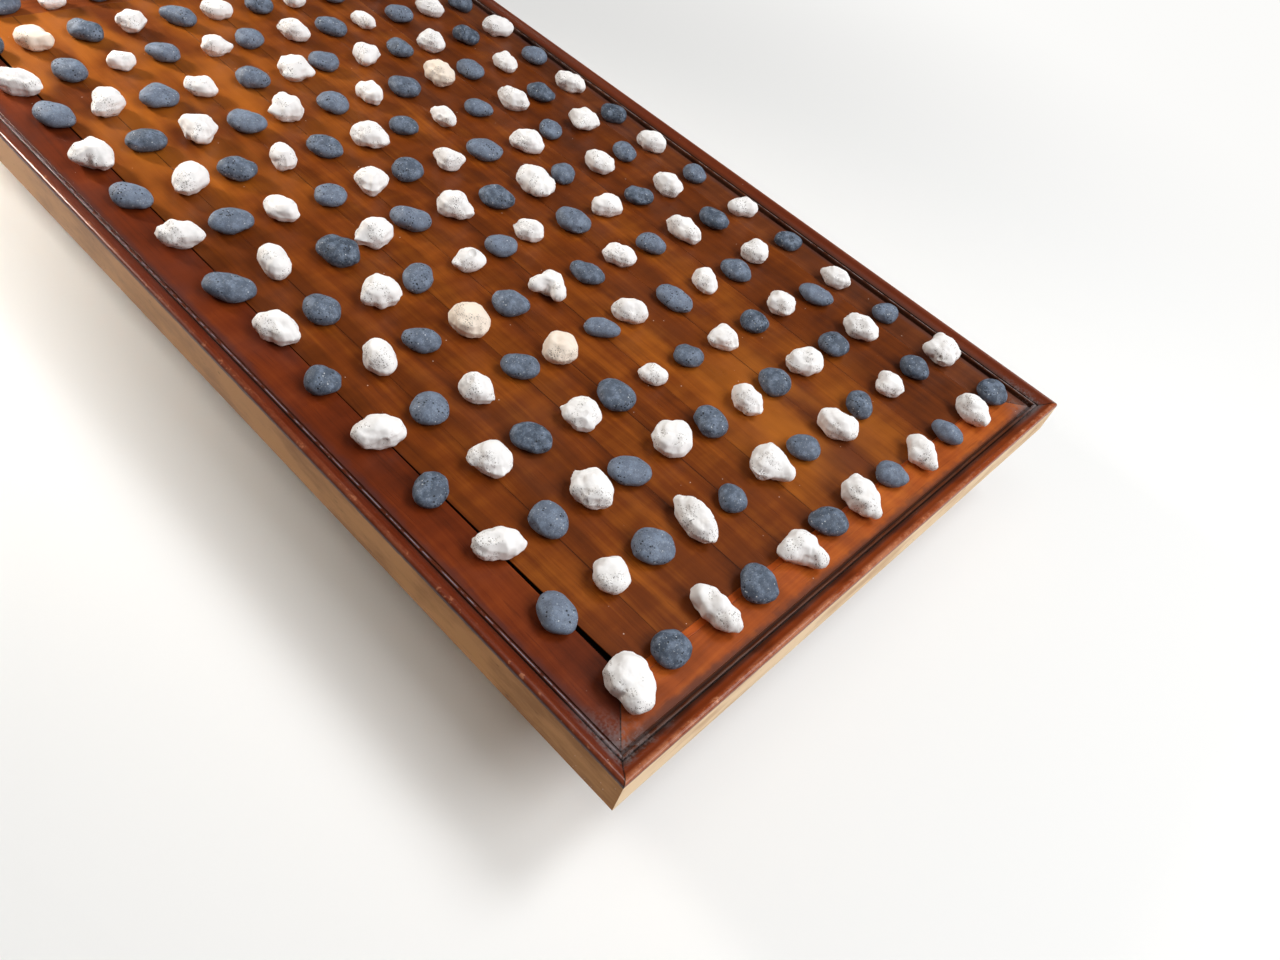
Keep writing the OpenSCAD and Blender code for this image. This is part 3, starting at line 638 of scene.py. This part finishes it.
def makeWood():
    easeFrom = surface - meshLook["easeDepth"]
    for i in range(7):
        name = "plank_%d" % (i + 1)
        bm = easedCopy(name, easeWidths["plank"], easeFrom)
        finishPiece(bm, "panel_" + name, name, "board", plankWood(i, name))
    for i, name in enumerate(railTones):
        bm = easedCopy(name, easeWidths["rail"], easeFrom)
        material = railWood(name, patternStarts["rail"] + i)
        finishPiece(bm, "moulded_" + name, name, "board", material)
    bm = easedCopy("near_end_slip", easeWidths["slip"])
    finishPiece(bm, "filler_slip", "near_end_slip", "board", slipWood())


brassLook = {
    "bright": paint(186, 150, 84), "dull": paint(92, 70, 40),
    "cloud": (420, 3, 0.6), "dullRange": (0.4, 0.62),
    "roughness": 0.38, "dullRough": 0.25,
}
hiddenWood = ("corner_splines", "plank_dowels")


def brassFinish():
    finish = Finish("old_brass")
    dull = finish.rise(finish.grain(finish.place, *brassLook["cloud"]), *brassLook["dullRange"])
    return finish.shade({"Base Color": finish.mix(dull, brassLook["bright"], brassLook["dull"]),
                         "Roughness": brassLook["roughness"] + dull * brassLook["dullRough"],
                         "Metallic": 1.0})


def setMaterial(piece, material):
    piece.data.materials.clear()
    piece.data.materials.append(material)


def makeUnderside():
    raw = closeWood(stainedWood("batten_wood", "x", rawTones, patternStarts["batten"]), woodLook["rawRelief"])
    for name in ("near_batten", "middle_batten", "far_batten"):
        finishPiece(easedCopy(name, easeWidths["batten"]), "cross_" + name, name, "board", raw)
    turned = closeWood(stainedWood("foot_wood", "z", footTones, patternStarts["foot"]))
    for name in ("near_left_foot", "near_right_foot", "far_left_foot", "far_right_foot"):
        finishPiece(mergedCopy(name), "turned_" + name, name, "board", turned)
    plain = closeWood(stainedWood("hidden_wood", "y", rawTones, patternStarts["hidden"]))
    for name in hiddenWood:
        setMaterial(nodes[name], plain)
    setMaterial(nodes["batten_screws"], brassFinish())


# Stones

coralLook = {
    "voxel": 0.46, "smoothing": 5, "grow": 0.3,
    "lumps": (6.0, 1.5), "knobs": (3.4, 0.12), "grit": (1.3, 0.06),     # size and height in mm
    "pits": (1.5, 0.3, 0.4),               # spacing, radius as a share of it, depth
    "pitFrom": 0.22, "pitSide": 0.42,      # where pits start, and how much more the lower left side has; that side is turned from the light, and its dark dots are partly painted shade
    "flats": 2, "flatRadius": (12.0, 22.0), "flatDepth": (0.4, 1.1),
    "bites": (0, 1), "biteRadius": (3.0, 5.0), "biteDepth": (0.8, 1.6),
    "rim": 0.5,                            # how softly the flats and hollows begin
    "taper": 0.0,                          # how much narrower one end is
    "stand": 1.16,                         # how much taller they stand than their solids
}
pebbleLook = {
    "voxel": 0.62, "smoothing": 3, "grow": 0.2,
    "lumps": (10.0, 1.5), "knobs": (5.0, 0.2), "grit": (1.6, 0.08),
    "pits": (2.4, 0.2, 0.35),
    "pitFrom": 0.05, "pitSide": 0.0,
    "flats": 3, "flatRadius": (14.0, 26.0), "flatDepth": (0.4, 1.4),
    "bites": (0, 0),
    "rim": 0.9,
    "taper": 0.2,
    "stand": 1.0,
}
stoneLook = {
    "heading": (0, 360), "slope": (-10, 60), "seed": (0, 100), "tint": (0, 0.5),     # what chance gives
    "patch": 7.0, "patchShift": (31.0, 7.0, 3.0),     # size in mm of the pitted patches, and their own place
    "pitSoft": (0.3, 4), "pitShade": 1.6, "pittedShade": (0.3, 2.5),
    "lowerLeft": 200,                      # the heading of the side with the most pits, the side turned from the light, where the dark dots are partly painted shade
    "half": 20,                            # mm over which the taper is reckoned
    "hollow": 6, "hollowShade": 0.3,       # marks of a smaller radius than this, in mm, are shaded
    "clear": 0.05 * millimetre,            # between the stones and the panel or the top of the box
}
stoneLayers = ("tint", "cavity", "pitted")
creamStones = [(6, 4), (5, 5), (14, 2), (11, 9)]

# Hollows and flats that the photograph shows on single stones, by row and column:
# heading round the stone and slope in degrees, radius and depth in mm
stoneMarks = {
    (1, 1): [(195, 20, 3.5, 1.8), (120, 50, 3.0, 0.8), (224, 52, 2.6, 1.2), (300, 35, 2.4, 1.0)],
    (1, 3): [(11, 10, 5.0, 1.6), (191, 5, 5.0, 1.8), (86, 5, 14.0, 1.2), (266, 5, 14.0, 1.2)],
    (1, 4): [(44, 75, 5.0, 0.5)],
    (1, 5): [(232, 0, 6.0, 1.6)],
    (1, 9): [(205, 5, 3.2, 2.2), (20, 10, 3.6, 1.8), (285, 20, 2.6, 1.0)],
    (1, 11): [(236, 0, 2.2, 2.6), (130, 10, 3.0, 1.0), (330, 10, 3.0, 1.2), (55, 10, 2.6, 0.8)],
    (2, 2): [(200, 30, 3.0, 0.5)],
    (2, 3): [(146, 0, 22.0, 1.6)],
    (2, 6): [(300, 45, 2.4, 1.6), (266, 30, 2.4, 1.8), (150, 60, 3.5, 0.8)],
    (2, 12): [(22, 5, 2.2, 2.0), (306, 5, 3.0, 2.4), (198, 5, 2.8, 2.0), (95, 5, 3.0, 2.0)],
    (3, 3): [(185, 35, 4.0, 1.6), (202, 5, 3.0, 1.2)],
    (3, 5): [(250, 50, 5.0, 0.5)],
    (3, 6): [(105, 0, 22.0, 1.6), (200, 0, 22.0, 1.2)],
    (4, 1): [(100, 10, 24.0, 1.4), (330, 10, 24.0, 1.2)],
    (4, 2): [(200, 40, 3.0, 0.7)],
    (4, 4): [(86, 5, 2.8, 2.0), (230, 50, 3.2, 1.6)],
    (4, 6): [(105, 20, 3.0, 1.2), (195, 35, 3.0, 0.8)],
    (5, 1): [(250, 5, 4.5, 1.6)],
    (5, 8): [(11, 5, 9.0, 1.4)],
    (6, 1): [(326, 0, 24.0, 1.0)],
    (6, 6): [(202, 5, 4.0, 2.0)],
    (7, 5): [(250, 70, 3.2, 2.2), (190, 30, 2.6, 1.0)],
    (8, 8): [(330, 5, 3.0, 1.6), (250, 10, 3.0, 1.4), (40, 15, 2.6, 1.2)],
    (9, 1): [(215, 20, 3.5, 1.2)],
    (9, 7): [(44, 5, 4.0, 1.8)],
    (10, 2): [(86, 55, 2.2, 2.2), (190, 30, 4.0, 0.8)],
    (10, 8): [(200, 20, 3.2, 1.4)],
    (11, 1): [(224, 5, 4.0, 1.8)],
    (11, 3): [(205, 15, 3.4, 1.4)],
    (12, 3): [(86, 10, 22.0, 1.4)],
    (12, 6): [(70, 10, 3.0, 1.2)],
    (13, 1): [(190, 20, 3.6, 1.2)],
    (13, 5): [(215, 30, 2.6, 1.2)],
}

# Blunt arms on single stones, also from the photograph:
# heading and slope in degrees, reach in mm, half width in degrees
stoneArms = {
    (1, 1): [(250, 5, 2.4, 30)],
    (1, 3): [(266, 0, 1.4, 34), (86, 0, 1.4, 34)],
    (1, 5): [(285, 0, 3.0, 24), (150, 0, 1.2, 28)],
    (1, 7): [(250, 0, 2.4, 28)],
    (1, 9): [(70, 0, 2.2, 20), (237, 0, 2.8, 22)],
    (1, 11): [(262, 0, 2.4, 18), (90, 5, 1.2, 24), (22, 5, 1.2, 22)],
    (2, 6): [(285, 0, 2.6, 24)],
    (2, 10): [(70, 5, 2.6, 22)],
    (2, 12): [(44, 5, 2.6, 20), (358, 0, 3.2, 18), (250, 0, 2.2, 20), (146, 0, 1.6, 22)],
    (3, 3): [(44, 5, 2.0, 24), (140, 0, 2.0, 22)],
    (6, 6): [(162, 0, 3.0, 22), (250, 0, 2.2, 24)],
    (8, 8): [(0, 5, 1.6, 18), (285, 0, 2.2, 18), (225, 0, 1.6, 18), (146, 0, 1.8, 20), (70, 5, 1.6, 20)],
    (9, 1): [(216, 0, 1.6, 24)],
    (10, 2): [(70, 0, 2.6, 24), (350, 0, 1.4, 26)],
    (11, 1): [(250, 0, 2.6, 20), (195, 0, 1.6, 20)],
    (11, 3): [(105, 0, 2.0, 22), (237, 0, 2.8, 22)],
}


def islandCentres(bm):
    # the middle of each separate stone, from left to right
    left = set(bm.verts)
    centres = []
    while left:
        queue = [left.pop()]
        found = []
        while queue:
            vert = queue.pop()
            found.append(vert.co.copy())
            for edge in vert.link_edges:
                other = edge.other_vert(vert)
                if other in left:
                    left.remove(other)
                    queue.append(other)
        # summed exactly, so that the order in which a stone's vertices are found doesn't matter
        centres.append(Vector([math.fsum(spot[axis] for spot in found) / len(found) for axis in range(3)]))
    return sorted(centres, key=lambda spot: spot.x)


def remeshed(bm, look):
    # an even mesh over the stone's form
    mesh = meshFrom(bm, "blank")
    blank = addObject("blank", mesh)
    even = blank.modifiers.new("even", "REMESH")
    even.mode = "VOXEL"
    even.voxel_size = look["voxel"] * millimetre
    soft = blank.modifiers.new("soft", "SMOOTH")
    soft.factor = 0.5
    soft.iterations = look["smoothing"]
    evaluated = blank.evaluated_get(bpy.context.evaluated_depsgraph_get())
    made = bpy.data.meshes.new_from_object(evaluated)
    bpy.data.objects.remove(blank)
    bpy.data.meshes.remove(mesh)
    out = bmesh.new()
    out.from_mesh(made)
    bpy.data.meshes.remove(made)
    return out


def bearing(azimuth, slope):
    azimuth, slope = math.radians(azimuth), math.radians(slope)
    return Vector((math.cos(azimuth) * math.cos(slope), math.sin(azimuth) * math.cos(slope), math.sin(slope)))


def planStone(row, column, centre, look, rng):
    # what is done to one stone, as read from the photograph or else by chance
    def chances(count, radius, depth):
        return [(rng.uniform(*stoneLook["heading"]), rng.uniform(*stoneLook["slope"]),
                 rng.uniform(*look[radius]), rng.uniform(*look[depth])) for _ in range(count)]
    flats = chances(look["flats"], "flatRadius", "flatDepth")
    bites = chances(rng.randint(*look["bites"]), "biteRadius", "biteDepth")
    seed = Vector([rng.uniform(*stoneLook["seed"]) for _ in range(3)])
    tint = 1.0 if (row, column) in creamStones else rng.uniform(*stoneLook["tint"])
    lean = bearing(rng.uniform(*stoneLook["heading"]), 0)
    marks = flats + stoneMarks.get((row, column), bites)
    return {"centre": centre, "seed": seed, "tint": tint, "lean": lean,
            "marks": [(bearing(azimuth, slope), radius * millimetre, depth * millimetre)
                      for azimuth, slope, radius, depth in marks],
            "arms": [(bearing(azimuth, slope), reach, 1 / (1 - math.cos(math.radians(width))))
                     for azimuth, slope, reach, width in stoneArms.get((row, column), [])]}


def swelling(local, spot, stone, look):
    # how far the skin moves out at this spot, in mm
    out = look["grow"]
    for key in ("lumps", "grit"):
        size, amount = look[key]
        out += amount * noise.noise(spot / size)
    size, amount = look["knobs"]
    out += amount * (abs(noise.noise(spot / size)) * 2 - 0.5)
    for heading, reach, narrow in stone["arms"]:
        out += reach * math.exp(narrow * (local.normalized().dot(heading) - 1))
    return out


def pitting(local, spot, look):
    # how far into a pitted patch this spot is, and how far into a pit
    spacing, share, _ = look["pits"]
    lowerLeft = bearing(stoneLook["lowerLeft"], 0)
    patch = noise.noise(spot / stoneLook["patch"] + Vector(stoneLook["patchShift"])) \
        + look["pitSide"] * local.normalized().dot(lowerLeft) - look["pitFrom"]
    if patch <= 0:
        return patch, 0.0
    distance = noise.voronoi(spot / spacing)[0][0]
    least, gain = stoneLook["pitSoft"]
    return patch, max(0.0, 1 - distance / share) * min(1.0, least + patch * gain)


def pressMark(verts, centre, mark, look, cavity):
    heading, radius, depth = mark
    reach = max((vert.co - centre).dot(heading) for vert in verts)
    middle = centre + heading * (reach + radius - depth)
    for vert in verts:
        away = vert.co - middle
        deep = radius - away.length
        if deep > 0:
            # pressed in softly, so that its rim stays rounded
            vert.co += away.normalized() * deep * deep / (deep + look["rim"] * millimetre)
            if radius < stoneLook["hollow"] * millimetre:
                vert[cavity] = max(vert[cavity], stoneLook["hollowShade"])


def wearStones(bm, stones, look, top):
    # gives each stone its own lumps, pits and hollows
    tint, cavity, pitted = [bm.verts.layers.float.new(name) for name in stoneLayers]
    depth = look["pits"][2]
    least, gain = stoneLook["pittedShade"]
    owned = [[] for _ in stones]
    bm.normal_update()
    for vert in bm.verts:
        nearest = min(range(len(stones)), key=lambda k: abs(stones[k]["centre"].x - vert.co.x))
        owned[nearest].append(vert)
    for stone, verts in zip(stones, owned):
        centre = stone["centre"]
        for vert in verts:
            local = (vert.co - centre) / millimetre
            spot = local + stone["seed"]
            patch, pit = pitting(local, spot, look)
            vert[tint] = stone["tint"]
            vert[cavity] = min(1.0, pit * stoneLook["pitShade"])
            vert[pitted] = min(1.0, max(0.0, patch * gain + least))
            vert.co += vert.normal * ((swelling(local, spot, stone, look) - depth * pit) * millimetre)
            if look["taper"]:
                moved = vert.co - centre
                side = stone["lean"].dot(moved) / (stoneLook["half"] * millimetre)
                vert.co = centre + moved * (1 - look["taper"] * side)
        for mark in stone["marks"]:
            pressMark(verts, centre, mark, look, cavity)
        tall = max(vert.co.z for vert in verts) - surface
        stand = min(look["stand"], (top - surface) / tall)
        for vert in verts:
            vert.co.z = max(surface + (vert.co.z - surface) * stand, surface + stoneLook["clear"])


coralSkin = {
    "white": paint(250, 249, 249), "cream": paint(248, 233, 216), "creamFrom": (0.5, 1.0), "creamShare": 0.9,
    "cloud": paint(243, 238, 235), "clouds": (260, 3, 0.6), "cloudFrom": (0.5, 0.8), "cloudShare": 0.35,
    "dot": paint(104, 96, 92), "wide": (760.0, 0.36, 0.5), "small": (1250.0, 0.34, 0.5),
    "dotSway": 0.8, "dotFrom": (0.3, 0.85), "dotShare": 0.62,
    "hollow": paint(150, 138, 128), "hollowShare": 0.7,
    "roughness": 0.85, "sheen": 0.2,
    "fines": (1500, 2, 0.6), "fineShare": 0.3, "relief": 0.12,
}
lavaSkin = {
    "dark": paint(62, 74, 90), "light": paint(120, 132, 152), "lightShare": 1.6,
    "cloud": paint(138, 154, 176), "clouds": (230, 4, 0.6), "cloudFrom": (0.4, 0.66), "cloudShare": 0.55,
    "shade": paint(46, 52, 63), "shadeFrom": (0.48, 0.7), "shadeShare": 0.45,
    "crystal": paint(216, 222, 226), "specks": (1100, 2, 0.6), "speckFrom": (0.6, 0.72), "speckShare": 0.35,
    "crystals": (700.0, 0.3, 0.07), "crystalShare": 0.85,
    "pore": paint(24, 26, 32), "pores": (620.0, 0.4, 0.5), "poreFrom": (0.3, 0.7), "poreShare": 0.9,
    "hollowShare": 0.8,
    "roughness": 0.6, "sheen": 0.35,
    "fines": (1500, 3, 0.7), "fineShare": 0.8, "relief": 0.18,
}


def closeStone(finish, skin, colour, height):
    return finish.shade({"Base Color": colour, "Roughness": skin["roughness"],
                         "Specular IOR Level": skin["sheen"], "Normal": finish.bump(height, skin["relief"])})


def coralFinish():
    skin = coralSkin
    finish = Finish("coral")
    tint, cavity, pitted = [finish.attribute(name) for name in stoneLayers]
    cloud, fine = [finish.grain(finish.place, *skin[key]) for key in ("clouds", "fines")]
    # dark dots: real pores, crowded on the side turned from the light as painted shade
    dots = (finish.dots(*skin["wide"]) + finish.dots(*skin["small"])) \
        * finish.rise(finish.sway(pitted, cloud, skin["dotSway"]), *skin["dotFrom"])
    colour = finish.coats(
        skin["white"],
        (finish.rise(tint, *skin["creamFrom"]) * skin["creamShare"], skin["cream"]),
        (finish.rise(cloud, *skin["cloudFrom"]) * skin["cloudShare"], skin["cloud"]),
        (dots * skin["dotShare"], skin["dot"]),
        # painted shade: the pits and small hollows darkened
        (cavity * skin["hollowShare"], skin["hollow"]))
    return closeStone(finish, skin, colour, fine * skin["fineShare"] - dots)


def lavaFinish():
    skin = lavaSkin
    finish = Finish("lava")
    tint, cavity, pitted = [finish.attribute(name) for name in stoneLayers]
    cloud, fine, speck = [finish.grain(finish.place, *skin[key]) for key in ("clouds", "fines", "specks")]
    pores = finish.dots(*skin["pores"]) * finish.rise(pitted + (cloud - 0.5), *skin["poreFrom"])
    colour = finish.coats(
        skin["dark"],
        (tint * skin["lightShare"], skin["light"]),
        (finish.rise(cloud, *skin["cloudFrom"]) * skin["cloudShare"], skin["cloud"]),
        (finish.rise(fine, *skin["shadeFrom"]) * skin["shadeShare"], skin["shade"]),
        (finish.rise(speck, *skin["speckFrom"]) * skin["speckShare"], skin["crystal"]),
        (pores * skin["poreShare"], skin["pore"]),
        (finish.dots(*skin["crystals"]) * skin["crystalShare"], skin["crystal"]),
        # painted shade: the pits and small hollows darkened
        (cavity * skin["hollowShare"], skin["pore"]))
    return closeStone(finish, skin, colour, fine * skin["fineShare"] - pores)


def makeStones():
    rng = random.Random(12)
    top = cadBounds[1][2] - stoneLook["clear"]
    coral = coralFinish()
    lava = lavaFinish()
    for row in range(1, 16):
        # white and black take turns at the first column
        kinds = (("white_stones_row_", "coral_row_", coralLook, "coral", coral, 2 - row % 2),
                 ("black_stones_row_", "pebbles_row_", pebbleLook, "lava", lava, 1 + row % 2))
        for prefix, piece, look, slot, material, firstColumn in kinds:
            node = prefix + "%02d" % row
            bm = mergedCopy(node)
            stones = [planStone(row, firstColumn + 2 * k, centre, look, rng)
                      for k, centre in enumerate(islandCentres(bm))]
            bm = remeshed(bm, look)
            wearStones(bm, stones, look, top)
            finishPiece(bm, piece + "%02d" % row, node, node, material)


setCamera()
setLights()
layFloor()
print("camera, lights and floor set")
makeWood()
print("wood made")
makeUnderside()
print("underside made")
makeStones()
print("stones made")
